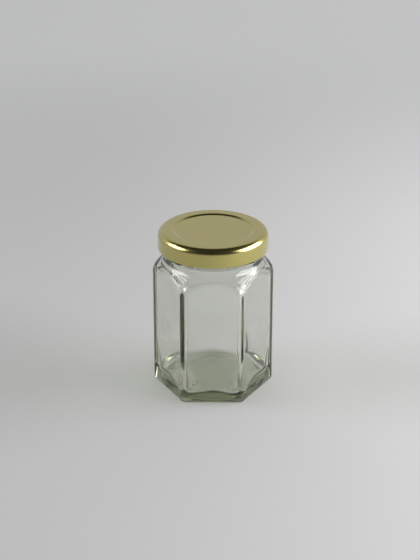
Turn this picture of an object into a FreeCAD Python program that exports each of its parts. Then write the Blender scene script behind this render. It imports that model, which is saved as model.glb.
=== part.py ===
import FreeCAD, Part
import math
import os
import Sketcher

# A small hexagonal preserving jar of clear glass, shut by a gold twist-off lid of sheet steel.
# Millimetres, +Z up. The origin is the middle of the footprint, on the surface the jar stands on.
# One flat side faces -Y, so two of the six upright corners point along +X and -X.

doc = FreeCAD.newDocument("HexagonalJar")

# ---------------------------------------------------------------------------------------------
# Driving dimensions. Each size is written once, here, and every object below is bound to it.
# ---------------------------------------------------------------------------------------------

sheet = doc.addObject("Spreadsheet::Sheet", "Dimensions")
DIMENSIONS = [
    # the outside of the glass
    ("across_flats", 48.8, "width over two opposite flat sides"),
    ("corner_radius", 2.2, "rounding of the six upright outside corners"),
    ("heel_radius", 3.0, "rounding where the sides turn under"),
    ("bearing_width", 2.4, "flat band that the jar stands on, at the middle of a side"),
    ("punt_depth", 1.3, "depth of the hollow under the bottom"),
    ("glass_height", 76.65, "from the table to the rim of the mouth"),
    ("neck_height", 12.6, "from the foot of the neck to the rim"),
    ("neck_inset", 2.1, "how far the neck stands in from the flat sides"),
    ("neck_root_radius", 4.0, "hollow rounding where the shoulder meets the neck"),
    ("rim_radius", 0.9, "rounding of both edges of the rim"),
    ("shoulder_angle", 42.5, "slope of the shoulder above the horizontal, in degrees"),
    ("crest_radius", 3.8, "rounding between an upright corner and the shoulder"),
    ("crest_relief", 0.05, "how far the turned shoulder stands outside the upright corners"),
    ("face_top_radius", 1.6, "rounding along the arched top of each flat side"),
    # the inside of the glass
    ("wall", 3.0, "thickness of the flat sides"),
    ("inner_corner_radius", 2.6, "rounding of the six upright corners inside"),
    ("shoulder_wall", 3.2, "thickness of the shoulder, measured square to it"),
    ("neck_wall", 2.6, "thickness of the neck"),
    ("bore_root_radius", 4.0, "rounding inside, where the shoulder meets the mouth"),
    ("floor_thickness", 5.2, "thickness of the bottom at the edge of its dome"),
    ("floor_radius", 2.0, "rounding between the floor and the sides inside"),
    ("dome_margin", 1.0, "from that rounding in to the edge of the dome"),
    ("dome_rise", 0.9, "height of the low dome in the floor"),
    # the twist-off finish on the neck
    ("lug_count", 4, "number of thread lugs on the glass, and of claws on the lid"),
    ("thread_reach", 1.3, "how far a thread lug stands out from the neck"),
    ("thread_height", 1.8, "height of a thread lug at the neck"),
    ("thread_sweep", 52.0, "angle that one thread lug covers, in degrees"),
    ("bead_reach", 0.5, "how far the bead under the lid stands out from the neck"),
    ("bead_height", 1.4, "height of that bead at the neck"),
    ("bead_gap", 0.7, "from the bead up to the rim of the lid"),
    # the lid
    ("lid_height", 8.9, "from the rolled rim to the top of the lid"),
    ("lid_shoulder_radius", 2.9, "rounding between the top and the skirt"),
    ("lid_sheet", 0.25, "thickness of the sheet steel"),
    ("compound", 0.8, "thickness of the sealing compound bonded under the edge of the top"),
    ("skirt_clearance", 1.45, "from the thread lugs out to the inside of the skirt"),
    ("panel_clearance", 1.0, "from the sunk middle of the top out to the inside of the neck"),
    ("panel_depth", 0.45, "how far the middle of the top is sunk"),
    ("panel_slope_width", 1.8, "width of the slope down to the sunk middle"),
    ("panel_edge_radius", 0.5, "rounding at the top of that slope"),
    ("curl_width", 1.1, "width of the rolled rim"),
    ("curl_height", 1.5, "height of the rolled rim"),
    ("claw_gap", 0.7, "from a claw in to the neck"),
    ("claw_height", 1.0, "height of a claw"),
    ("claw_sweep", 16.0, "angle that one claw covers, in degrees"),
    ("claw_clearance", 0.25, "from the top of a claw up to the thread lug above it"),
]
for row, (alias, value, meaning) in enumerate(DIMENSIONS, start=1):
    sheet.set(f"A{row}", alias)
    sheet.set(f"B{row}", str(value))
    sheet.set(f"C{row}", meaning)
    sheet.setAlias(f"B{row}", alias)
doc.recompute()


def size(expression):
    """An expression on the sheet's aliases, as the text that setExpression takes."""
    for alias in sorted((entry[0] for entry in DIMENSIONS), key=len, reverse=True):
        expression = expression.replace(f"<{alias}>", f"Dimensions.{alias}")
    return expression


# Radii from the axis and heights that follow from the driving dimensions, written once each.
HALF_FLATS = "(<across_flats> / 2)"
CORNER = "(<across_flats> / sqrt(3) - <corner_radius> * (2 / sqrt(3) - 1))"
TURNED = f"({CORNER} + <crest_relief>)"
NECK = f"({HALF_FLATS} - <neck_inset>)"
BORE = f"({NECK} - <neck_wall>)"
THREAD = f"({NECK} + <thread_reach>)"
SLOPE = "tan(<shoulder_angle> * 1 deg)"
NECK_FOOT = "(<glass_height> - <neck_height>)"
SHOULDER_START = f"({NECK_FOOT} - ({TURNED} - {NECK}) * {SLOPE})"
INNER_START = f"({SHOULDER_START} - <shoulder_wall> / cos(<shoulder_angle> * 1 deg))"
BORE_FOOT = f"({INNER_START} + ({TURNED} - {BORE}) * {SLOPE})"
ABOVE_GLASS = "(<glass_height> + <lid_height>)"
PUNT = f"({HALF_FLATS} - <heel_radius> - <bearing_width>)"
DOME = f"({HALF_FLATS} - <wall> - <floor_radius> - <dome_margin>)"
SKIRT_INSIDE = f"({THREAD} + <skirt_clearance>)"
LID = f"({SKIRT_INSIDE} + <lid_sheet>)"
LID_TOP = "(<glass_height> + <compound> + <lid_sheet>)"
LID_RIM = f"({LID_TOP} - <lid_height>)"
CURL_INSIDE = f"({LID} - <curl_width>)"
PANEL_RIM = f"({BORE} - <panel_clearance>)"
PANEL = f"({PANEL_RIM} - <panel_slope_width>)"
PANEL_TOP = f"({LID_TOP} - <panel_depth>)"
CLAW_INSIDE = f"({NECK} + <claw_gap>)"
CLAW_TOP = f"({LID_RIM} + <claw_height>)"
THREAD_MIDDLE = f"({CLAW_TOP} + <claw_clearance> + <thread_height> / 2)"
BEAD_MIDDLE = f"({LID_RIM} - <bead_gap> - <bead_height> / 2)"


# ---------------------------------------------------------------------------------------------
# Helpers
# ---------------------------------------------------------------------------------------------

def evaluate(expression):
    """The value of a size expression, in millimetres, radians or plain."""
    return float(sheet.evalExpression(size(expression)))


def new_body(name):
    return doc.addObject("PartDesign::Body", name)


def origin_plane(body, role):
    return next(item for item in body.Origin.OriginFeatures if item.Role == role)


def profile(body, name, corners):
    """A closed outline in the XZ plane: each corner is a (radius, height) pair of expressions."""
    sketch = body.newObject("Sketcher::SketchObject", name)
    sketch.AttachmentSupport = [(origin_plane(body, "XZ_Plane"), "")]
    sketch.MapMode = "FlatFace"
    places = [FreeCAD.Vector(evaluate(radius), evaluate(height), 0) for radius, height in corners]
    count = len(places)
    for index in range(count):
        sketch.addGeometry(Part.LineSegment(places[index], places[(index + 1) % count]), False)
    for index in range(count):
        sketch.addConstraint(Sketcher.Constraint("Coincident", index, 2, (index + 1) % count, 1))
    for index, (radius, height) in enumerate(corners):
        for kind, text in (("DistanceX", radius), ("DistanceY", height)):
            value = places[index].x if kind == "DistanceX" else places[index].y
            number = sketch.addConstraint(Sketcher.Constraint(kind, -1, 1, index, 1, value))
            if text != "0":
                sketch.setExpression(f"Constraints[{number}]", size(text))
    doc.recompute()
    return sketch


def revolve(body, name, sketch, sweep=None):
    """Turns an outline about the Z axis: all the way, or over an angle with XZ in its middle."""
    feature = body.newObject("PartDesign::Revolution", name)
    feature.Profile = sketch
    feature.ReferenceAxis = (sketch, ["V_Axis"])
    if sweep is None:
        feature.Angle = 360
    else:
        feature.Midplane = True
        feature.setExpression("Angle", size(sweep))
    doc.recompute()
    return feature


def edges_where(shape, test):
    """Names of the edges of a shape whose middle point and edge pass a test."""
    found = []
    for number, edge in enumerate(shape.Edges, start=1):
        if edge.Length < 1e-6 or edge.Degenerated:
            continue
        middle = edge.valueAt((edge.FirstParameter + edge.LastParameter) / 2)
        if test(edge, middle):
            found.append(f"Edge{number}")
    return found


def fillet(body, name, base, radius, test):
    """Rounds the edges of the body's last feature that pass the test."""
    names = edges_where(base.Shape, test)
    if not names:
        raise RuntimeError(f"{name}: no edge to round")
    feature = body.newObject("PartDesign::Fillet", name)
    feature.Base = (base, names)
    feature.setExpression("Radius", size(radius))
    doc.recompute()
    return feature


def ring_at(radius, height):
    """A test for the full circle edge at a radius and height given as expressions."""
    wanted_radius, wanted_height = evaluate(radius), evaluate(height)

    def test(edge, middle):
        return (abs(math.hypot(middle.x, middle.y) - wanted_radius) < 1e-3
                and abs(middle.z - wanted_height) < 1e-3)
    return test


def polar_pattern(body, name, original):
    """Repeats a feature about the Z axis, once for each lug."""
    pattern = body.newObject("PartDesign::PolarPattern", name)
    pattern.Originals = [original]
    pattern.Axis = (original.Profile[0], ["V_Axis"])
    pattern.Angle = 360
    pattern.setExpression("Occurrences", size("<lug_count>"))
    body.Tip = pattern
    doc.recompute()
    return pattern


def hexagonal_block(name, across, corner_radius, bottom, bottom_radius):
    """An upright six-sided block with rounded corners, rounded where the sides turn under."""
    body = new_body(name)
    block = body.newObject("PartDesign::AdditivePrism", f"{name}_prism")
    block.Polygon = 6
    block.AttachmentSupport = [(origin_plane(body, "XY_Plane"), "")]
    block.MapMode = "FlatFace"
    block.setExpression("Circumradius", size(f"{across} / sqrt(3)"))
    block.setExpression("Height", size(f"{ABOVE_GLASS} - {bottom}"))
    block.setExpression(".AttachmentOffset.Base.z", size(bottom))
    doc.recompute()
    upright = fillet(body, f"{name}_corners", block, corner_radius,
                     lambda edge, middle: abs(edge.tangentAt(edge.FirstParameter).z) > 0.99)
    floor = evaluate(bottom)
    fillet(body, f"{name}_turn", upright, bottom_radius,
           lambda edge, middle: abs(middle.z - floor) < 1e-3)
    return body


def domed_ball(name, ring, rise, base):
    """A ball that meets the plane at the base height in a ring, and tops it by the rise."""
    ball = doc.addObject("Part::Sphere", name)
    radius = f"({ring} ^ 2 + {rise} ^ 2) / (2 * {rise})"
    ball.setExpression("Radius", size(radius))
    ball.setExpression(".Placement.Base.z", size(f"{base} + {rise} - {radius}"))
    doc.recompute()
    return ball


def rounded_edges(name, base, radius, test):
    """Rounds the edges of a finished shape that pass the test."""
    result = doc.addObject("Part::Fillet", name)
    result.Base = base
    value = evaluate(radius)
    result.Edges = [(int(edge[4:]), value, value) for edge in edges_where(base.Shape, test)]
    doc.recompute()
    return result


def boolean(kind, name, base, tool):
    result = doc.addObject(f"Part::{kind}", name)
    result.Base = base
    result.Tool = tool
    doc.recompute()
    return result


# ---------------------------------------------------------------------------------------------
# The jar: one piece of moulded glass
# ---------------------------------------------------------------------------------------------

def glass_outside():
    """The turned shoulder and neck, kept only where they lie inside the hexagonal block."""
    body = new_body("OutsideTurned")
    outline = profile(body, "OutsideOutline", [
        ("0", "0"),
        (TURNED, "0"),
        (TURNED, SHOULDER_START),
        (NECK, NECK_FOOT),
        (NECK, "<glass_height>"),
        ("0", "<glass_height>"),
    ])
    turned = revolve(body, "OutsideRevolution", outline)
    crest = fillet(body, "Crest", turned, "<crest_radius>", ring_at(TURNED, SHOULDER_START))
    fillet(body, "NeckRoot", crest, "<neck_root_radius>", ring_at(NECK, NECK_FOOT))
    block = hexagonal_block("OutsideBlock", "<across_flats>", "<corner_radius>", "0",
                            "<heel_radius>")
    outside = boolean("Common", "Outside", body, block)
    # A flat side cuts the cone of the shoulder along a hyperbola, which arches over the side.
    return rounded_edges("FaceTops", outside, "<face_top_radius>",
                         lambda edge, middle: isinstance(edge.Curve, Part.Hyperbola))


def glass_inside():
    """The hollow: the same make-up one wall further in, with a low dome in its floor."""
    body = new_body("InsideTurned")
    outline = profile(body, "InsideOutline", [
        ("0", "0"),
        (TURNED, "0"),
        (TURNED, INNER_START),
        (BORE, BORE_FOOT),
        (BORE, ABOVE_GLASS),
        ("0", ABOVE_GLASS),
    ])
    turned = revolve(body, "InsideRevolution", outline)
    fillet(body, "BoreRoot", turned, "<bore_root_radius>", ring_at(BORE, BORE_FOOT))
    block = hexagonal_block("InsideBlock", "(<across_flats> - 2 * <wall>)",
                            "<inner_corner_radius>", "<floor_thickness>", "<floor_radius>")
    hollow = boolean("Common", "Hollow", body, block)
    dome = domed_ball("FloorDome", DOME, "<dome_rise>", "<floor_thickness>")
    return boolean("Cut", "Inside", hollow, dome)


def neck_ridge(name, middle, reach, height, sweep=None):
    """A rounded ridge round the neck: whole, or a lug over an angle, repeated."""
    body = new_body(name)
    root = f"({NECK} - <neck_wall> / 2)"
    outline = profile(body, f"{name}Outline", [
        (root, f"{middle} - {height} / 2"),
        (NECK, f"{middle} - {height} / 2"),
        (f"{NECK} + {reach}", f"{middle} - {height} / 6"),
        (f"{NECK} + {reach}", f"{middle} + {height} / 6"),
        (NECK, f"{middle} + {height} / 2"),
        (root, f"{middle} + {height} / 2"),
    ])
    ridge = revolve(body, f"{name}Ridge", outline, sweep)
    if sweep is not None:
        polar_pattern(body, f"{name}Pattern", ridge)
    return body


def glass_jar():
    hollowed = boolean("Cut", "Hollowed", glass_outside(), glass_inside())
    punt = domed_ball("Punt", PUNT, "<punt_depth>", "0")
    standing = boolean("Cut", "Standing", hollowed, punt)
    outer_rim = ring_at(NECK, "<glass_height>")
    inner_rim = ring_at(BORE, "<glass_height>")
    rounded = rounded_edges("RoundedRim", standing, "<rim_radius>",
                            lambda edge, middle: outer_rim(edge, middle) or inner_rim(edge, middle))
    bead = neck_ridge("Bead", BEAD_MIDDLE, "<bead_reach>", "<bead_height>")
    threads = neck_ridge("Threads", THREAD_MIDDLE, "<thread_reach>", "<thread_height>",
                         "<thread_sweep>")
    beaded = boolean("Fuse", "Beaded", rounded, bead)
    jar = boolean("Fuse", "Jar", beaded, threads)
    jar.Label = "glass_jar"
    return jar


# ---------------------------------------------------------------------------------------------
# The lid: pressed sheet steel with a rolled rim and claws, and its bonded sealing compound
# ---------------------------------------------------------------------------------------------

def metal_lid():
    body = new_body("Lid")
    outline = profile(body, "LidOutline", [
        ("0", PANEL_TOP),
        (PANEL, PANEL_TOP),
        (PANEL_RIM, LID_TOP),
        (LID, LID_TOP),
        (LID, LID_RIM),
        (CURL_INSIDE, LID_RIM),
        (CURL_INSIDE, f"{LID_RIM} + <curl_height>"),
        (SKIRT_INSIDE, f"{LID_RIM} + <curl_height>"),
        (SKIRT_INSIDE, "<glass_height>"),
        (PANEL_RIM, "<glass_height>"),
        (PANEL, f"{PANEL_TOP} - <lid_sheet>"),
        ("0", f"{PANEL_TOP} - <lid_sheet>"),
    ])
    pressed = revolve(body, "LidRevolution", outline)
    shoulder = fillet(body, "LidShoulder", pressed, "<lid_shoulder_radius>", ring_at(LID, LID_TOP))
    fillet(body, "PanelEdge", shoulder, "<panel_edge_radius>", ring_at(PANEL_RIM, LID_TOP))
    root = f"({CURL_INSIDE} + <lid_sheet>)"
    claw_outline = profile(body, "ClawOutline", [
        (root, LID_RIM),
        (CLAW_INSIDE, LID_RIM),
        (CLAW_INSIDE, CLAW_TOP),
        (root, CLAW_TOP),
    ])
    claw = revolve(body, "Claw", claw_outline, "<claw_sweep>")
    polar_pattern(body, "Claws", claw)
    body.Label = "metal_lid"
    return body


# ---------------------------------------------------------------------------------------------
# Build, check and write
# ---------------------------------------------------------------------------------------------

parts = [glass_jar(), metal_lid()]
doc.recompute()

for item in doc.Objects:
    if "Invalid" in item.State or "Error" in item.State:
        raise RuntimeError(f"{item.Name} failed: {item.State}")

os.makedirs("parts", exist_ok=True)
for part in parts:
    shape = part.Shape
    if shape.isNull() or not shape.isValid() or len(shape.Solids) != 1:
        raise RuntimeError(f"{part.Label} isn't one valid solid")
    box = shape.optimalBoundingBox(True, False)
    print(f"{part.Label}: {shape.Volume / 1000:.2f} cm3, "
          f"x {box.XMin:.2f} to {box.XMax:.2f}, y {box.YMin:.2f} to {box.YMax:.2f}, "
          f"z {box.ZMin:.2f} to {box.ZMax:.2f}")
    shape.exportStep(f"parts/{part.Label}.step")
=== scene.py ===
# %% [markdown]
# # A hexagonal glass jar with a gold twist-off lid
#
# A jam or honey jar: six flat sides of clear, faintly green glass, a sloping shoulder, a round
# neck, and a lid of lacquered tinplate. Glass is hard to draw well, because nearly everything
# that is seen in it is something else, bent or mirrored. So the shape has to be right on both
# faces of the wall, and the room around the jar matters as much as the jar.
#
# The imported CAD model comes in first, as the frame that fixes every size and place.

# %% Open the frame
import math

import bmesh
import bpy
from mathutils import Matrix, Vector, noise


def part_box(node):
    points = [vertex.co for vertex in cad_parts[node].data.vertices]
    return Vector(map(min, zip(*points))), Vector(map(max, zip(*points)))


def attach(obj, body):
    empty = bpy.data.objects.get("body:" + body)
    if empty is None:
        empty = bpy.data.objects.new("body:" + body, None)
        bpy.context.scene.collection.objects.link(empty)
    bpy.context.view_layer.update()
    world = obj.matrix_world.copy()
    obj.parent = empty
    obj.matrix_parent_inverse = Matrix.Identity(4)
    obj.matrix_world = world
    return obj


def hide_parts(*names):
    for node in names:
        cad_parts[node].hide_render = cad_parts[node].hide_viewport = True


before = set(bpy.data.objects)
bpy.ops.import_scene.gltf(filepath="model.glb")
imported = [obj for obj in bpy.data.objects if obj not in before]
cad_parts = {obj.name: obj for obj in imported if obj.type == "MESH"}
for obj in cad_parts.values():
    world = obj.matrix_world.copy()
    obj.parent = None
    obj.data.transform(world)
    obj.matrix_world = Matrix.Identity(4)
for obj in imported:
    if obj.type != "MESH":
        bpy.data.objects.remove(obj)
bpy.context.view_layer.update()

# %% [markdown]
# ## Sizes
#
# The jar's reach and height and the lid's are read off the frame. What can't be read off a box,
# such as a wall or a rounding, is named here once. All these sizes are in millimetres, because
# a glassmaker's drawing has them so, and a mesh turns them into metres at the very end.

# %% Sizes from the frame
MM = 0.001
jar_low, jar_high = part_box("glass_jar")
lid_low, lid_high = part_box("metal_lid")

HALF_FLATS = (jar_high[1] - jar_low[1]) / 2 / MM
HALF_CORNERS = (jar_high[0] - jar_low[0]) / 2 / MM
GLASS_TOP = jar_high[2] / MM
LID_RADIUS = (lid_high[0] - lid_low[0]) / 2 / MM
LID_RIM = lid_low[2] / MM
LID_TOP = lid_high[2] / MM
print(f"flats {HALF_FLATS:.2f}, corners {HALF_CORNERS:.2f}, glass top {GLASS_TOP:.2f}")
print(f"lid radius {LID_RADIUS:.2f}, rim {LID_RIM:.2f}, top {LID_TOP:.2f}")

# %% Sizes of the outside
HEEL_RADIUS = 2.6                 # where the sides turn under the jar
NECK_INSET = 2.1                  # how far the neck stands in from the flats
NECK_HEIGHT = 12.6
NECK_ROOT = 5.0                   # hollow rounding where the slope meets the neck
SHOULDER_SLOPE = math.radians(42.5)
CREST_AT_CORNER = 3.8             # rounding from a side into the shoulder, at a corner
CREST_AT_FACE = 0.7               # and over the flat
CREST_SPREAD = 6.0                # degrees from the corner to where it is as over the flat
RIM_RADIUS = 0.9
NECK_RADIUS = HALF_FLATS - NECK_INSET
NECK_FOOT = GLASS_TOP - NECK_HEIGHT

# The corner rounding that takes the corner reach down from the sharp hexagon's to the frame's.
SHARP_CORNER = HALF_FLATS / math.cos(math.radians(30))
CORNER_ROUND = (SHARP_CORNER - HALF_CORNERS) / (2 / math.sqrt(3) - 1)
print(f"upright corners are rounded to {CORNER_ROUND:.2f} mm")

# %% Sizes of the hollow
WALL = 2.9
INNER_HALF_FLATS = HALF_FLATS - WALL
INNER_CORNER = 2.1                # rounding of the upright corners, half way up
NECK_WALL = 2.6
BORE_RADIUS = NECK_RADIUS - NECK_WALL
BORE_ROOT = 7.0                   # rounding from the shoulder into the mouth, at most
SHOULDER_WALL = 3.4
INNER_CREST = 14.0                # rounding from a side into the shoulder, at most
FLOOR_HEIGHT = 5.8
FLOOR_CROWN = 0.1                 # rise of the floor to its middle
FLOOR_FLAT = 14.0                 # radius to which the floor is flat
FLOOR_BEND = 8.0                  # rounding there
FLOOR_DROP = 1.9                  # dip of the floor in the corners
FLOOR_DROP_SPREAD = 30.0          # degrees from a corner to where there is no dip
FLOOR_TURN = 0.8                  # rounding from the floor into the front and back
FLOOR_TURN_AT_SIDES = 5.0         # and into the left and right
HOLLOW_SHIFT = 0.34               # how far the hollow sits off the middle
print(f"hollow: {2 * INNER_HALF_FLATS:.1f} mm across flats, mouth {2 * BORE_RADIUS:.1f} mm wide")

# %% [markdown]
# ## Outlines
#
# A glass mould is turned and milled, so its section is made of straight runs joined by arcs. It
# could be drawn as a Bezier curve, but then no rounding would have a size. Here an outline is a
# list of corners in (radius, height), each with its own rounding, and one function turns it into
# points. The number of points on each run and arc is given with the corner, so that the outline
# has as many points at every angle round the jar, and the rings can be joined.

# %% A corner of an outline
def corner(radius, height, rounding=0.0, run=1, arc=0):
    """A corner, the points on the run that leads to it, and the steps of its arc."""
    return radius, height, rounding, run, arc


def turned(arrow, angle):
    """A flat vector turned anticlockwise."""
    cosine, sine = math.cos(angle), math.sin(angle)
    return Vector((arrow.x * cosine - arrow.y * sine, arrow.x * sine + arrow.y * cosine))


# %% Outline of straight runs and arcs
def rounded_outline(corners):
    """The points of an outline: one at the first corner, then each run and the arc after it."""
    points = [Vector(corners[0][:2])]
    for index in range(1, len(corners)):
        place = Vector(corners[index][:2])
        rounding, run_count, arc_count = corners[index][2:]
        before = (Vector(corners[index - 1][:2]) - place).normalized()
        if index == len(corners) - 1 or rounding == 0:
            arc = [place]
        else:
            after = (Vector(corners[index + 1][:2]) - place).normalized()
            half = before.angle(after) / 2
            middle = place + (before + after).normalized() * rounding / math.sin(half)
            first = place + before * rounding / math.tan(half)
            last = place + after * rounding / math.tan(half)
            swing = (first - middle).angle_signed(last - middle)
            arc = [middle + turned(first - middle, -swing * step / arc_count)
                   for step in range(arc_count + 1)]
        start = points[-1]
        for step in range(1, run_count):
            points.append(start.lerp(arc[0], step / run_count))
        points.extend(arc)
    return points


sample = rounded_outline([corner(0, 0), corner(10, 0, rounding=2, run=4, arc=6), corner(10, 10)])
print(f"a square corner rounded to 2 mm: {len(sample)} points")

# %% [markdown]
# ## The hexagon
#
# Looked at from above, the jar's side is a hexagon with rounded corners. A six-sided cylinder
# with a bevel would give it too, but not with rings that join the round neck. So it is worked
# out: at any angle round the axis the reach is the flat's, or near a corner the arc's. The
# columns of the mesh crowd at the corners, where the glass bends light the most, and spread out
# over the flats.

# %% Reach of a rounded hexagon
SECTOR = math.radians(60)


def from_corner(angle):
    """How far an angle is from the nearest corner, which lie at 0, 60, 120 and so on."""
    return abs((angle + SECTOR / 2) % SECTOR - SECTOR / 2)


def hexagon_reach(angle, half_flats, rounding):
    """The radius of a hexagon with rounded corners at an angle."""
    away = from_corner(angle)
    middle = (half_flats - rounding) / math.cos(SECTOR / 2)
    tangent = math.atan2(rounding * 0.5, middle + rounding * math.cos(SECTOR / 2))
    if away > tangent:
        return half_flats / math.cos(SECTOR / 2 - away)
    return middle * math.cos(away) + math.sqrt(rounding ** 2 - (middle * math.sin(away)) ** 2)


print(f"reach at a corner: {hexagon_reach(0, HALF_FLATS, CORNER_ROUND):.2f} mm")

# %% Columns round the jar
COLUMNS_PER_SIDE = 36
EVEN_SHARE = 0.42                 # how much of the spacing is even
CROWDED_SHARE = 0.58              # and how much crowds at the corners
CROWDING = 2.6


def column_angles():
    """Angles round the axis, close together at the corners and wider on the flats."""
    angles = []
    for side in range(6):
        for step in range(COLUMNS_PER_SIDE):
            share = 2 * step / COLUMNS_PER_SIDE - 1
            crowded = math.copysign(abs(share) ** CROWDING, share)
            moved = EVEN_SHARE * share + CROWDED_SHARE * crowded
            angles.append(SECTOR * (side + moved / 2))
    return angles


ANGLES = column_angles()
print(f"{len(ANGLES)} columns round the jar")

# %% [markdown]
# ## The neck's ridges
#
# A twist-off jar has four short thread lugs on its neck, which the lid's claws slide under, and
# a bead below them, by which the hot jar is gripped when it leaves the mould. The bead is what
# shows under the edge of the lid. They could be pieces of their own, but moulded glass has no
# seams, so they are added to the neck's reach as smooth humps.

# %% Ridges on the neck
BEAD_MIDDLE = LID_RIM - 1.9
BEAD_HEIGHT = 1.5
BEAD_REACH = 0.8
LUG_MIDDLE = LID_RIM + 2.15
LUG_HEIGHT = 1.8
LUG_REACH = 1.3
LUG_COUNT = 4
LUG_SWEEP = math.radians(52)


def hump(offset, width, flatness):
    """A smooth rise of 1 in the middle of a width, flat-topped when flatness is high."""
    share = abs(offset) / (width / 2)
    return 0.0 if share >= 1 else (1 - share ** (2 * flatness)) ** 2


def beside_nearest(angle, count):
    """The angle to the nearest of as many lugs or claws, evenly spaced from angle 0."""
    pitch = math.tau / count
    return (angle + pitch / 2) % pitch - pitch / 2


def neck_ridge(angle, height):
    """How far the bead and the thread lugs stand out from the neck."""
    bead = BEAD_REACH * hump(height - BEAD_MIDDLE, BEAD_HEIGHT, flatness=1.0)
    across = hump(beside_nearest(angle, LUG_COUNT), LUG_SWEEP, flatness=5.0)
    lug = LUG_REACH * hump(height - LUG_MIDDLE, LUG_HEIGHT, flatness=2.0) * across
    return max(bead, lug)


print(f"bead {neck_ridge(0, BEAD_MIDDLE):.1f} mm, lugs {neck_ridge(0, LUG_MIDDLE):.1f} mm out")

# %% [markdown]
# ## The shoulder
#
# The outside leans in at 42.5 degrees above the sides. Where that cone meets a flat it draws the
# arched line that such jars have. On the real jar the line is crisp over the flats and washes
# out at the corners, so its rounding changes with the angle. Inside, the same slope lies a
# wall's thickness lower, with roundings as wide as the slope has room for.

# %% Soft changes
def eased(value, start, end):
    """0 at the start, 1 at the end, with a soft change between."""
    share = min(1.0, max(0.0, (value - start) / (end - start)))
    return share * share * (3 - 2 * share)


def blend_at(angle, corner_value, face_value, half_width):
    """A value that is one thing at a corner and another on the flat, with a soft change."""
    share = eased(math.degrees(from_corner(angle)), 0.0, half_width)
    return corner_value + (face_value - corner_value) * share


# %% The sloping shoulder
SLOPE_USED = 0.96                 # share of the slope that its two roundings may take up


def cone_height(radius):
    """The height of the sloping shoulder at a radius."""
    return NECK_FOOT + (NECK_RADIUS - radius) * math.tan(SHOULDER_SLOPE)


def sloping(reach, neck, drop, crest, root, side_counts, foot_counts):
    """The two corners of a slope, as far below the shoulder's as drop: at the side and neck."""
    length = (reach - neck) / math.cos(SHOULDER_SLOPE)
    half_turn = (math.pi / 2 - SHOULDER_SLOPE) / 2
    fit = min(1.0, SLOPE_USED * length / math.tan(half_turn) / (crest + root))
    side = corner(reach, cone_height(reach) - drop, crest * fit, *side_counts)
    foot = corner(neck, cone_height(neck) - drop, root * fit, *foot_counts)
    return side, foot


print(f"the shoulder starts {cone_height(HALF_FLATS):.1f} mm up on the flats")

# %% [markdown]
# ## The hollow
#
# The real jar is blown in a mould, so its outside is crisp where the mould touched it and its
# inside is soft and never quite even. The hollow sits a third of a millimetre off the middle, as
# it does when a gob drops a little to one side, and that makes the strip at one front corner
# wide and at the other narrow. Its upright corners are sharpest half way up.
#
# The floor is flat, dips towards the corners, and turns up tightly at the front and back and
# more gently at the sides. Noise gives the slow ripple of glass that set in air. A Displace
# modifier could do that too, but the outside would have to be masked off, so the points are
# moved here, as they are made.

# %% Corners and ripple of the hollow
ROUND_BELOW = 22.0                # heights between which the upright corners are sharpest
ROUND_ABOVE = 54.0
CORNERS_LOW = FLOOR_HEIGHT + 3.0  # heights at which they have the two roundings below
CORNERS_HIGH = NECK_FOOT - 4.0
FLOOR_CORNER = 9.0                # rounding of the upright corners low down
SHOULDER_CORNER = 2.2             # and high up
WALL_RIPPLE = 0.12                # depth of the ripple in the walls
WALL_RIPPLE_SIZE = 11.0           # and how far it is from wave to wave
FLOOR_RIPPLE = 0.03               # depth in the flat of the floor
EDGE_RIPPLE = 0.30                # what is added to it beyond the flat
EDGE_WIDTH = 6.0                  # over which that is added
BASE_RIPPLE_SIZE = 4.5


def inner_reach(angle, height):
    """The reach of the hollow, with the rounding that its corners have at a height."""
    low = eased(height, ROUND_BELOW, CORNERS_LOW)
    high = eased(height, ROUND_ABOVE, CORNERS_HIGH)
    rounding = (INNER_CORNER + (FLOOR_CORNER - INNER_CORNER) * low
                + (SHOULDER_CORNER - INNER_CORNER) * high)
    return hexagon_reach(angle, INNER_HALF_FLATS, rounding)


def ripple(angle, radius, height, size, depth):
    """The slow unevenness of glass that set in air, as a depth in millimetres."""
    place = Vector((radius * math.cos(angle), radius * math.sin(angle), height))
    return depth * noise.noise(place / size)


print(f"hollow's corners reach {inner_reach(0, GLASS_TOP / 2):.2f} mm half way up")

# %% Points of the outside and of the hollow
DRIFT_FADE = 8.0                  # over this height below the neck the drift fades out
MIDDLE_FADE = 4                   # and by this power of the radius, towards the axis


def with_ridges(angle, point):
    """A point of the outside, with the bead and the lugs added on the neck."""
    radius, height = point
    if NECK_FOOT < height < GLASS_TOP - RIM_RADIUS:
        radius += neck_ridge(angle, height)
    return Vector((radius, height))


def with_drift(angle, point):
    """A point of the hollow, with its corners, its drift to one side and its ripple."""
    radius, height = point
    low = height < NECK_FOOT / 2
    if height < NECK_FOOT:
        widest = hexagon_reach(angle, INNER_HALF_FLATS, INNER_CORNER)
        kept = 0.0 if low else BORE_RADIUS
        spread = max(0.0, radius - kept) / (widest - kept)
        radius += spread * (inner_reach(angle, height) - widest)
    below_neck = min(1.0, max(0.0, (NECK_FOOT - height) / DRIFT_FADE))
    fade = min(1.0, radius / BORE_RADIUS) ** MIDDLE_FADE * below_neck
    drift = HOLLOW_SHIFT * math.cos(angle)
    radius += fade * (drift + ripple(angle, radius, height, WALL_RIPPLE_SIZE, WALL_RIPPLE))
    if low:
        depth = FLOOR_RIPPLE + EDGE_RIPPLE * eased(radius, FLOOR_FLAT, FLOOR_FLAT + EDGE_WIDTH)
        waves = ripple(angle, radius, height, BASE_RIPPLE_SIZE, depth)
        height += min(1.0, FLOOR_HEIGHT / height) * waves
    return Vector((radius, height))


# %% [markdown]
# ## One column of glass
#
# For each angle one outline runs from the heel up the outside, over the rim, and down the
# inside to the middle of the floor. The runs and arcs have more points where light is bent
# sharply: at the heel, along the crest of the shoulder and round the floor.

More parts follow.
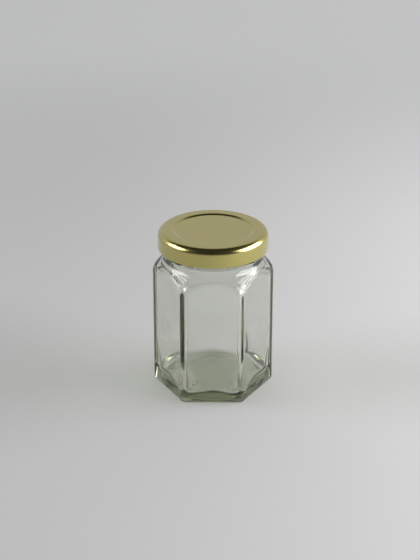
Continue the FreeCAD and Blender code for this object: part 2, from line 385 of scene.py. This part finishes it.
# %% The outline at one angle
def outside_corners(angle):
    """Heel, top of the side, foot of the neck, and the rim's outer edge."""
    reach = hexagon_reach(angle, HALF_FLATS, CORNER_ROUND)
    crest = blend_at(angle, CREST_AT_CORNER, CREST_AT_FACE, CREST_SPREAD)
    side, foot = sloping(reach, NECK_RADIUS, 0.0, crest, NECK_ROOT, (16, 16), (8, 12))
    heel = corner(reach, 0.0, HEEL_RADIUS, arc=14)
    return [heel, side, foot, corner(NECK_RADIUS, GLASS_TOP, RIM_RADIUS, run=56, arc=8)]


def inside_corners(angle):
    """The rim's inner edge, foot of the mouth, top of the wall, and the floor to its middle."""
    inner = hexagon_reach(angle, INNER_HALF_FLATS, INNER_CORNER)
    drop = SHOULDER_WALL / math.cos(SHOULDER_SLOPE)
    side, foot = sloping(inner, BORE_RADIUS, drop, INNER_CREST, BORE_ROOT, (2, 16), (10, 16))
    floor_edge = FLOOR_HEIGHT - blend_at(angle, FLOOR_DROP, 0.0, FLOOR_DROP_SPREAD)
    sideways = math.cos(angle) ** 2
    floor_turn = FLOOR_TURN + (FLOOR_TURN_AT_SIDES - FLOOR_TURN) * sideways
    return [
        corner(BORE_RADIUS, GLASS_TOP, RIM_RADIUS, run=2, arc=8),
        foot,
        side,
        corner(inner, floor_edge, floor_turn, run=30, arc=16),
        corner(FLOOR_FLAT, FLOOR_HEIGHT, FLOOR_BEND, run=6, arc=6),
        corner(0.0, FLOOR_HEIGHT + FLOOR_CROWN, run=14),
    ]


def glass_column(angle):
    """The outline at one angle: heel, side, shoulder, neck, rim, mouth, wall and floor."""
    outside = outside_corners(angle)
    outline = rounded_outline([corner(0.0, 0.0)] + outside + inside_corners(angle))[1:]
    outside_count = sum(run + arc for *place, run, arc in outside)
    return ([with_ridges(angle, point) for point in outline[:outside_count]]
            + [with_drift(angle, point) for point in outline[outside_count:]])


print(f"{len(glass_column(0.0))} points from the heel to the middle of the floor")

# %% [markdown]
# ## The underside
#
# A jar that stood on a flat base would rock, so its base is hollowed a little and it stands on a
# ring. The second outline of a column goes under the jar: across that ring, which is flat, and
# up into the hollow, where the glass is wavy towards the edge. The wavy part is what breaks up
# the dark band along the heel.

# %% The underside at one angle
BEARING_WIDTH = 2.8               # of the ring that the jar stands on
BEARING_STEPS = 6
PUNT_RISE = 0.7                   # of the hollow inside that ring
PUNT_FULLNESS = 1.2
PUNT_STEPS = 20
PUNT_CALM = 12.0                  # radius to which the hollow is smooth
PUNT_WAVY = 17.0                  # and from which it is fully wavy
PUNT_RIPPLE = 1.0                 # depth of the waves, as a share of the rise


def underside_column(angle):
    """From the heel inwards: the flat bearing ring, then the shallow hollow of the base."""
    heel = hexagon_reach(angle, HALF_FLATS, CORNER_ROUND) - HEEL_RADIUS
    ring = HALF_FLATS - HEEL_RADIUS - BEARING_WIDTH
    points = [Vector((heel + (ring - heel) * step / BEARING_STEPS, 0.0))
              for step in range(1, BEARING_STEPS + 1)]
    for step in range(1, PUNT_STEPS):
        radius = ring * (1 - step / PUNT_STEPS)
        rise = PUNT_RISE * (1 - (radius / ring) ** 2) ** PUNT_FULLNESS
        waves = ripple(angle, radius, 0.0, BASE_RIPPLE_SIZE, PUNT_RIPPLE)
        waves = eased(radius, PUNT_CALM, PUNT_WAVY) * waves
        points.append(Vector((radius, rise * (1 + waves))))
    return points


print(f"{len(underside_column(0.0))} points from the heel to the middle of the base")

# %% [markdown]
# ## From outlines to a mesh
#
# Every column has as many points, so the mesh is a grid wrapped round the axis, with a fan of
# triangles at each end, where the outline meets the axis. A Screw modifier turns one outline,
# but here each angle has its own. A closed grid like this needs no modifier, and its inside and
# outside are one skin, as a piece of glass is.

# %% Wrap columns into a closed skin
def ring_points(piece_mesh, angles, columns, index):
    """One ring of mesh points: the same point of every column."""
    ring = []
    for angle, column in zip(angles, columns):
        radius, height = column[index]
        place = Vector((radius * math.cos(angle), radius * math.sin(angle), height))
        ring.append(piece_mesh.verts.new(place * MM))
    return ring


def close_on_axis(piece_mesh, ring, forwards):
    """A fan of triangles from a ring to a point on the axis."""
    height = sum(vertex.co.z for vertex in ring) / len(ring)
    pole = piece_mesh.verts.new((0, 0, height))
    for vertex, beside in zip(ring, ring[1:] + ring[:1]):
        corners = (vertex, beside) if forwards else (beside, vertex)
        piece_mesh.faces.new((*corners, pole))


def skin(name, angles, columns, closed_outline=False):
    """A mesh from one outline per angle: open ends close on the axis, or the outline loops."""
    piece_mesh = bmesh.new()
    rings = [ring_points(piece_mesh, angles, columns, index) for index in range(len(columns[0]))]
    pairs = list(zip(rings, rings[1:]))
    if closed_outline:
        pairs.append((rings[-1], rings[0]))
    for lower, upper in pairs:
        for here in range(len(angles)):
            beside = (here + 1) % len(angles)
            piece_mesh.faces.new((lower[here], lower[beside], upper[beside], upper[here]))
    if not closed_outline:
        close_on_axis(piece_mesh, rings[0], forwards=False)
        close_on_axis(piece_mesh, rings[-1], forwards=True)
    bmesh.ops.recalc_face_normals(piece_mesh, faces=piece_mesh.faces)
    mesh = bpy.data.meshes.new(name)
    piece_mesh.to_mesh(mesh)
    piece_mesh.free()
    mesh.polygons.foreach_set("use_smooth", [True] * len(mesh.polygons))
    piece = bpy.data.objects.new(name, mesh)
    bpy.context.scene.collection.objects.link(piece)
    print(f"{name}: {len(mesh.vertices)} points, {len(mesh.polygons)} faces")
    return piece


# %% The jar's skin
jar_columns = [underside_column(angle)[::-1] + glass_column(angle) for angle in ANGLES]
jar = skin("jar_glass", ANGLES, jar_columns)
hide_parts("glass_jar")
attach(jar, "root")

# %% [markdown]
# ## Shader sums as Python
#
# A finish is a network of nodes. Wired by hand it hides what it works out, so one small class
# wraps a socket: adding or multiplying two of them adds the Math node, and any other node comes
# from one method that takes its type, its settings and what goes into its sockets.

# %% A socket that can be reckoned with
class Wire:
    """A value in a node tree. Its operators add Math nodes."""

    def __init__(self, tree, socket=None):
        self.tree = tree
        self.socket = socket

    def node(self, kind, settings=None, inputs=None, output=0):
        """Adds a node: its settings first, then the values or wires of its sockets."""
        node = self.tree.nodes.new(kind)
        for key, value in (settings or {}).items():
            setattr(node, key, value)
        for key, value in (inputs or {}).items():
            if isinstance(value, Wire):
                self.tree.links.new(value.socket, node.inputs[key])
            else:
                node.inputs[key].default_value = value
        return Wire(self.tree, node.outputs[output] if node.outputs else None)

    def reckon(self, operation, first, second):
        """One Math node."""
        return self.node("ShaderNodeMath", {"operation": operation}, {0: first, 1: second})

    def __add__(self, other):
        return self.reckon("ADD", self, other)

    def __radd__(self, other):
        return self.reckon("ADD", other, self)

    def __sub__(self, other):
        return self.reckon("SUBTRACT", self, other)

    def __rsub__(self, other):
        return self.reckon("SUBTRACT", other, self)

    def __mul__(self, other):
        return self.reckon("MULTIPLY", self, other)

    def __rmul__(self, other):
        return self.reckon("MULTIPLY", other, self)


# %% Nodes that come up often
def blend_colour(factor, first, second):
    """A Mix node for colours."""
    return factor.node("ShaderNodeMix", {"data_type": "RGBA"}, {0: factor, 6: first, 7: second}, 2)


def smooth_step(value, low, high):
    """A Map Range node that eases from 0 at low to 1 at high."""
    return value.node("ShaderNodeMapRange", {"interpolation_type": "SMOOTHSTEP"},
                      {"Value": value, "From Min": low, "From Max": high})


def new_finish(name):
    """An empty material, and a wire to start its nodes from."""
    material = bpy.data.materials.new(name)
    material.use_nodes = True
    material.node_tree.nodes.clear()
    return material, Wire(material.node_tree)


def grey(value):
    """A neutral colour."""
    return value, value, value, 1.0


# %% [markdown]
# ## Clear flint glass
#
# Jar glass is clear, but seen through its thickest parts it is a soft grey-green, from the iron
# in the sand. That tint belongs in the volume, not on the surface: a Volume Absorption leaves the
# thin walls clear and darkens only the heel and the edges. The skin carries a very slight
# ripple, left by the mould.
#
# The shadow of real glass is light with bright lines in it, and takes long to work out. A
# transparent shader for shadow rays alone gives the light shadow at once.

# %% Glass
GLASS_TINT = (0.52, 0.565, 0.38, 1.0)
TINT_DENSITY = 60.0               # for each metre of glass that light goes through
SHADOW_TINT = (0.985, 0.99, 0.975, 1.0)


def glass_finish():
    """Clear glass with its tint in the volume and a light shadow."""
    material, start = new_finish("clear_glass")
    place = start.node("ShaderNodeTexCoord", output="Object")
    mould_marks = start.node("ShaderNodeTexNoise", None,
                             {"Vector": place, "Scale": 55.0, "Detail": 1.0, "Roughness": 0.4})
    bumped = start.node("ShaderNodeBump", None,
                        {"Height": mould_marks, "Strength": 0.12, "Distance": 0.0006})
    clear = start.node("ShaderNodeBsdfPrincipled", None, {
        "Base Color": grey(1.0), "Metallic": 0.0, "Roughness": 0.0, "IOR": 1.52,
        "Transmission Weight": 1.0, "Normal": bumped})
    light_shadow = start.node("ShaderNodeBsdfTransparent", None, {"Color": SHADOW_TINT})
    shadow_ray = start.node("ShaderNodeLightPath", output="Is Shadow Ray")
    surface = start.node("ShaderNodeMixShader", None, {0: shadow_ray, 1: clear, 2: light_shadow})
    tint = start.node("ShaderNodeVolumeAbsorption", None,
                      {"Color": GLASS_TINT, "Density": TINT_DENSITY})
    start.node("ShaderNodeOutputMaterial", None, {"Surface": surface, "Volume": tint})
    return material


jar.data.materials.append(glass_finish())
print("glass finished")

# %% [markdown]
# ## The lid
#
# A twist-off lid is pressed from tinplate a quarter of a millimetre thick. Its edge is rolled
# in to a round curl, nipped at four places into claws that grip the thread, and the panel on
# top is sunk, so that it can bow when the jar is filled hot. A Solidify modifier could give the
# sheet its thickness, but not the curl. So one closed outline has the sheet's two faces and the
# curl in it, and the skin function wraps it round the axis.

# %% Sizes of the lid
SHEET = 0.25
LID_SHOULDER = 2.9                # rounding from the top into the skirt
CURL_WIDTH = 1.1
CURL_HEIGHT = 1.5
PANEL_DEPTH = 0.5
PANEL_RIM = BORE_RADIUS - 1.0     # radius where the top starts to sink
PANEL_FOOT = PANEL_RIM - 1.3      # and where it has reached the panel
INNERMOST = 0.4                   # radius of the last ring, inside which a fan closes the sheet
CLAW_REACH = 1.2
CLAW_COUNT = 4
CLAW_SWEEP = math.radians(16)
LID_COLUMNS = 288
print(f"panel {2 * PANEL_FOOT:.1f} mm across, sunk {PANEL_DEPTH} mm")


# %% One column of the lid
def lid_column(angle):
    """The sheet's outline at one angle, from the axis out over the top and back inside."""
    claw = CLAW_REACH * hump(beside_nearest(angle, CLAW_COUNT), CLAW_SWEEP, flatness=2.0)
    panel = LID_TOP - PANEL_DEPTH
    skirt = LID_RADIUS - SHEET
    curl = LID_RADIUS - CURL_WIDTH - claw
    curl_top = LID_RIM + CURL_HEIGHT
    return rounded_outline([
        corner(INNERMOST, panel),
        corner(PANEL_FOOT, panel, rounding=0.5, run=12, arc=6),
        corner(PANEL_RIM, LID_TOP, rounding=0.6, run=2, arc=6),
        corner(LID_RADIUS, LID_TOP, LID_SHOULDER, run=6, arc=20),
        corner(LID_RADIUS, LID_RIM, rounding=0.5, run=14, arc=6),
        corner(curl, LID_RIM, rounding=0.5, run=2, arc=6),
        corner(curl, curl_top, rounding=0.4, run=2, arc=6),
        corner(skirt, curl_top, rounding=0.1, run=2, arc=4),
        corner(skirt, LID_TOP - SHEET, LID_SHOULDER - SHEET, run=12, arc=16),
        corner(PANEL_RIM, LID_TOP - SHEET, rounding=0.4, run=6, arc=4),
        corner(PANEL_FOOT, panel - SHEET, rounding=0.5, run=2, arc=4),
        corner(INNERMOST, panel - SHEET, run=12),
    ])


lid_angles = [math.tau * step / LID_COLUMNS for step in range(LID_COLUMNS)]
lid = skin("lid_sheet", lid_angles, [lid_column(angle) for angle in lid_angles])
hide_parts("metal_lid")
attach(lid, "root")

# %% [markdown]
# ## Gold lacquer
#
# The gold of such a lid is a yellow varnish over tin. The tin shines through it, so the finish
# is metal with an olive-gold colour under a clear coat. Rolled tinplate is cloudy, so its colour
# and its polish vary a little, and the varnish has a slight orange peel. All of that comes from
# two Noise nodes, a coarse one and a fine one.

# %% Lacquered tinplate
DEEP_GOLD = (0.53, 0.465, 0.155, 1.0)
PALE_GOLD = (0.58, 0.515, 0.185, 1.0)


def gold_finish():
    """Metal under a clear coat, a little uneven in colour and polish."""
    material, start = new_finish("gold_lacquer")
    place = start.node("ShaderNodeTexCoord", output="Object")
    cloud = start.node("ShaderNodeTexNoise", None,
                       {"Vector": place, "Scale": 60.0, "Detail": 3.0, "Roughness": 0.5})
    peel = start.node("ShaderNodeTexNoise", None,
                      {"Vector": place, "Scale": 900.0, "Detail": 1.0, "Roughness": 0.5})
    colour = blend_colour(cloud, DEEP_GOLD, PALE_GOLD)
    bumped = start.node("ShaderNodeBump", None,
                        {"Height": peel, "Strength": 0.25, "Distance": 0.00002})
    metal = start.node("ShaderNodeBsdfPrincipled", None, {
        "Base Color": colour, "Metallic": 1.0, "Roughness": 0.18 + 0.08 * cloud,
        "Coat Weight": 0.5, "Coat Roughness": 0.03, "Coat IOR": 1.5, "Normal": bumped})
    start.node("ShaderNodeOutputMaterial", None, {"Surface": metal})
    return material


lid.data.materials.append(gold_finish())
print("lid finished")

# %% [markdown]
# ## The sealing ring
#
# Under the top of the lid lies a ring of soft white compound, poured in while the lid spins.
# The rim of the glass presses into it. It hardly shows until the lid is looked at from below,
# so a plain ring with rounded edges is enough. Its outline loops, so the skin has no ends.

# %% Shape of the ring
RING_INNER = PANEL_RIM + 0.2
RING_OUTER = LID_RADIUS - 1.2
RING_OUTER_TOP = LID_RADIUS - LID_SHOULDER + 0.4
RING_GAP = 0.02                   # between the compound and the sheet above it


def ring_outline():
    """The cross-section of the ring, from its inner edge to its outer one."""
    top = LID_TOP - SHEET - RING_GAP
    return rounded_outline([
        corner(RING_INNER, top),
        corner(RING_INNER, GLASS_TOP, rounding=0.3, run=2, arc=4),
        corner(RING_OUTER, GLASS_TOP, rounding=0.3, run=4, arc=4),
        corner(RING_OUTER_TOP, top, run=3),
    ])


ring = skin("sealing_ring", lid_angles, [ring_outline()] * LID_COLUMNS, closed_outline=True)
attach(ring, "root")

# %% Sealing compound
DARK_COMPOUND = (0.70, 0.68, 0.60, 1.0)
LIGHT_COMPOUND = (0.78, 0.76, 0.69, 1.0)


def compound_finish():
    """Off-white rubber with a fine grain."""
    material, start = new_finish("sealing_compound")
    place = start.node("ShaderNodeTexCoord", output="Object")
    grain = start.node("ShaderNodeTexNoise", None, {"Vector": place, "Scale": 700.0})
    colour = blend_colour(grain, DARK_COMPOUND, LIGHT_COMPOUND)
    rubber = start.node("ShaderNodeBsdfPrincipled", None,
                        {"Base Color": colour, "Roughness": 0.45 + 0.15 * grain})
    start.node("ShaderNodeOutputMaterial", None, {"Surface": rubber})
    return material


ring.data.materials.append(compound_finish())
print("sealing ring finished")

# %% [markdown]
# ## The floor
#
# Glass and lacquer show the room, so the room is planned. The floor is one large plain sheet,
# pale and matt. Its colour has painted light in it: it is painted lighter to the right, where the
# larger soft box stands. Far from the jar the lamps no longer reach it, and a matt sheet would go
# dark there. So it blends into a glowing tone, which is also painted lighter to the right, and the
# horizon stays pale.

# %% Shape of the floor
FLOOR_REACH = 8.0


def floor_piece():
    """A flat sheet at height 0."""
    mesh = bpy.data.meshes.new("floor")
    edge = [(-FLOOR_REACH, -FLOOR_REACH, 0), (FLOOR_REACH, -FLOOR_REACH, 0),
            (FLOOR_REACH, FLOOR_REACH, 0), (-FLOOR_REACH, FLOOR_REACH, 0)]
    mesh.from_pydata(edge, [], [(0, 1, 2, 3)])
    piece = bpy.data.objects.new("floor", mesh)
    bpy.context.scene.collection.objects.link(piece)
    return piece


floor = floor_piece()
print(f"floor laid, {2 * FLOOR_REACH:.0f} m wide")

# %% Pale floor
# Painted light: the matt colour is a painted shade on the left and a painted pool of light on the
# right.
PAINTED_SHADE_LEFT = grey(0.60)
PAINTED_LIGHT_RIGHT = (0.82, 0.82, 0.815, 1.0)
PAINTED_LIGHT_SPREAD = (-0.15, 0.25)       # metres across, over which the painted shade on the left becomes the painted light on the right
GLOW_LEFT = (0.445, 0.45, 0.455, 1.0)
GLOW_RIGHT = (0.60, 0.60, 0.605, 1.0)
GLOW_CHANGE = (-1.1, 1.1)
MATT_TO_GLOW = (0.16, 0.60)       # metres from the jar, over which matt becomes glow


def along(place, axis):
    """One coordinate of a place or a direction."""
    return place.node("ShaderNodeSeparateXYZ", None, {0: place}, axis)


def floor_finish():
    """Matt near the jar, where it takes shadows, and a glowing tone further off; both are painted
    lighter to the right.
    """
    material, start = new_finish("pale_floor")
    place = start.node("ShaderNodeTexCoord", output="Object")
    away = start.node("ShaderNodeVectorMath", {"operation": "LENGTH"}, {0: place}, 1)
    across = along(place, "X")
    # Painted light: the matt colour grows lighter from left to right, as the light from the right
    # soft box would make it.
    painted_light_colour = blend_colour(smooth_step(across, *PAINTED_LIGHT_SPREAD), PAINTED_SHADE_LEFT, PAINTED_LIGHT_RIGHT)
    matt = start.node("ShaderNodeBsdfDiffuse", None, {"Color": painted_light_colour})
    # The far glow is painted lighter to the right as well.
    tone = blend_colour(smooth_step(across, *GLOW_CHANGE), GLOW_LEFT, GLOW_RIGHT)
    glow = start.node("ShaderNodeEmission", None, {"Color": tone, "Strength": 1.0})
    far = smooth_step(away, *MATT_TO_GLOW)
    surface = start.node("ShaderNodeMixShader", None, {0: far, 1: matt, 2: glow})
    start.node("ShaderNodeOutputMaterial", None, {"Surface": surface})
    return material


floor.data.materials.append(floor_finish())
print("floor finished")

# %% [markdown]
# ## Soft boxes
#
# A bare bulb would leave a dot on the glass. A soft box is an area light as wide as the
# highlight it should leave. Each is placed by its direction from the jar and turned to face it,
# and its brightness is given for its surface, so that a larger one isn't dimmer.

# %% Two soft boxes
LAMP_TARGET = Vector((0.0, 0.0, 0.045))


def soft_box(name, azimuth, elevation, distance, width, height, brightness):
    """An area light at a direction: azimuth is from the back, clockwise seen from above."""
    lamp = bpy.data.lights.new(name, "AREA")
    lamp.shape = "RECTANGLE"
    lamp.size = width
    lamp.size_y = height
    lamp.energy = brightness * math.pi * width * height
    around = math.radians(azimuth)
    up = math.radians(elevation)
    direction = Vector((math.sin(around) * math.cos(up), math.cos(around) * math.cos(up),
                        math.sin(up)))
    holder = bpy.data.objects.new(name, lamp)
    holder.location = LAMP_TARGET + direction * distance
    holder.rotation_euler = (-direction).to_track_quat("-Z", "Y").to_euler()
    holder.visible_camera = False
    bpy.context.scene.collection.objects.link(holder)
    print(f"{name}: {lamp.energy:.1f} W")


soft_box("left_soft_box", azimuth=-94, elevation=30, distance=0.95,
         width=0.62, height=0.42, brightness=6.5)
soft_box("right_soft_box", azimuth=92, elevation=22, distance=0.95,
         width=0.95, height=0.68, brightness=6.2)

# %% [markdown]
# ## The room's light
#
# Walls and a backdrop could be built, but a world that is a function of direction does the same
# with no mesh. It is pale behind the jar, up to about fifty degrees, and low down also at the
# sides. It is dark above, and in front, where it is darkest high up. That dark is what draws the
# black lines along the edges of the glass and the black band round the front of the lid.

# %% World
PAPER = grey(0.545)
PAPER_EDGE = (-0.45, -0.15)       # how far back the pale part begins, low down
PAPER_LEAN = 1.3                  # how much further back it begins higher up
PAPER_TOP = (0.72, 0.80)          # sines of the angles over which it ends
ROOM_LOW = grey(0.11)
ROOM_HIGH = (0.032, 0.033, 0.035, 1.0)
ROOM_CHANGE = (0.05, 0.45)        # sines of the angles over which the room grows darker


def build_world():
    """Pale behind, dark in front and above."""
    world = bpy.data.worlds.new("room")
    world.use_nodes = True
    world.node_tree.nodes.clear()
    bpy.context.scene.world = world
    start = Wire(world.node_tree)
    direction = start.node("ShaderNodeTexCoord", output="Generated")
    back = along(direction, "Y")
    high = along(direction, "Z")
    behind = smooth_step(back - PAPER_LEAN * high, *PAPER_EDGE)
    below = 1 - smooth_step(high, *PAPER_TOP)
    room = blend_colour(smooth_step(high, *ROOM_CHANGE), ROOM_LOW, ROOM_HIGH)
    colour = blend_colour(behind * below, room, PAPER)
    light = start.node("ShaderNodeBackground", None, {"Color": colour, "Strength": 1.0})
    start.node("ShaderNodeOutputWorld", None, {"Surface": light})


build_world()
print("room built")

# %% [markdown]
# ## Camera
#
# A long lens, from a little above: the sides of the jar stay nearly parallel, and the lid
# still shows its top. Light that enters glass is bent and mirrored many times before it leaves,
# so the render is allowed more bounces than usual.

# %% Camera
SENSOR_HEIGHT = 36.0
LENS_LENGTH = 99.7
CAMERA_PLACE = Vector((0.0093, -0.6526, 0.3501))
CAMERA_AIM = Vector((-0.00141, -0.00002, 0.05197))


def place_camera():
    """A camera that looks down at the jar from the front."""
    lens = bpy.data.cameras.new("camera")
    lens.sensor_fit = "VERTICAL"
    lens.sensor_height = SENSOR_HEIGHT
    lens.lens = LENS_LENGTH
    camera = bpy.data.objects.new("camera", lens)
    camera.location = CAMERA_PLACE
    camera.rotation_euler = (CAMERA_AIM - CAMERA_PLACE).to_track_quat("-Z", "Y").to_euler()
    bpy.context.scene.collection.objects.link(camera)
    bpy.context.scene.camera = camera


place_camera()
print("camera placed")

# %% How light is followed
GLASS_BOUNCES = 24
METAL_BOUNCES = 12
scene = bpy.context.scene
scene.view_settings.view_transform = "Standard"
scene.cycles.max_bounces = GLASS_BOUNCES
scene.cycles.transmission_bounces = GLASS_BOUNCES
scene.cycles.transparent_max_bounces = GLASS_BOUNCES
scene.cycles.glossy_bounces = METAL_BOUNCES
scene.cycles.caustics_reflective = False
scene.cycles.caustics_refractive = False
print(f"light is followed for {GLASS_BOUNCES} bounces")
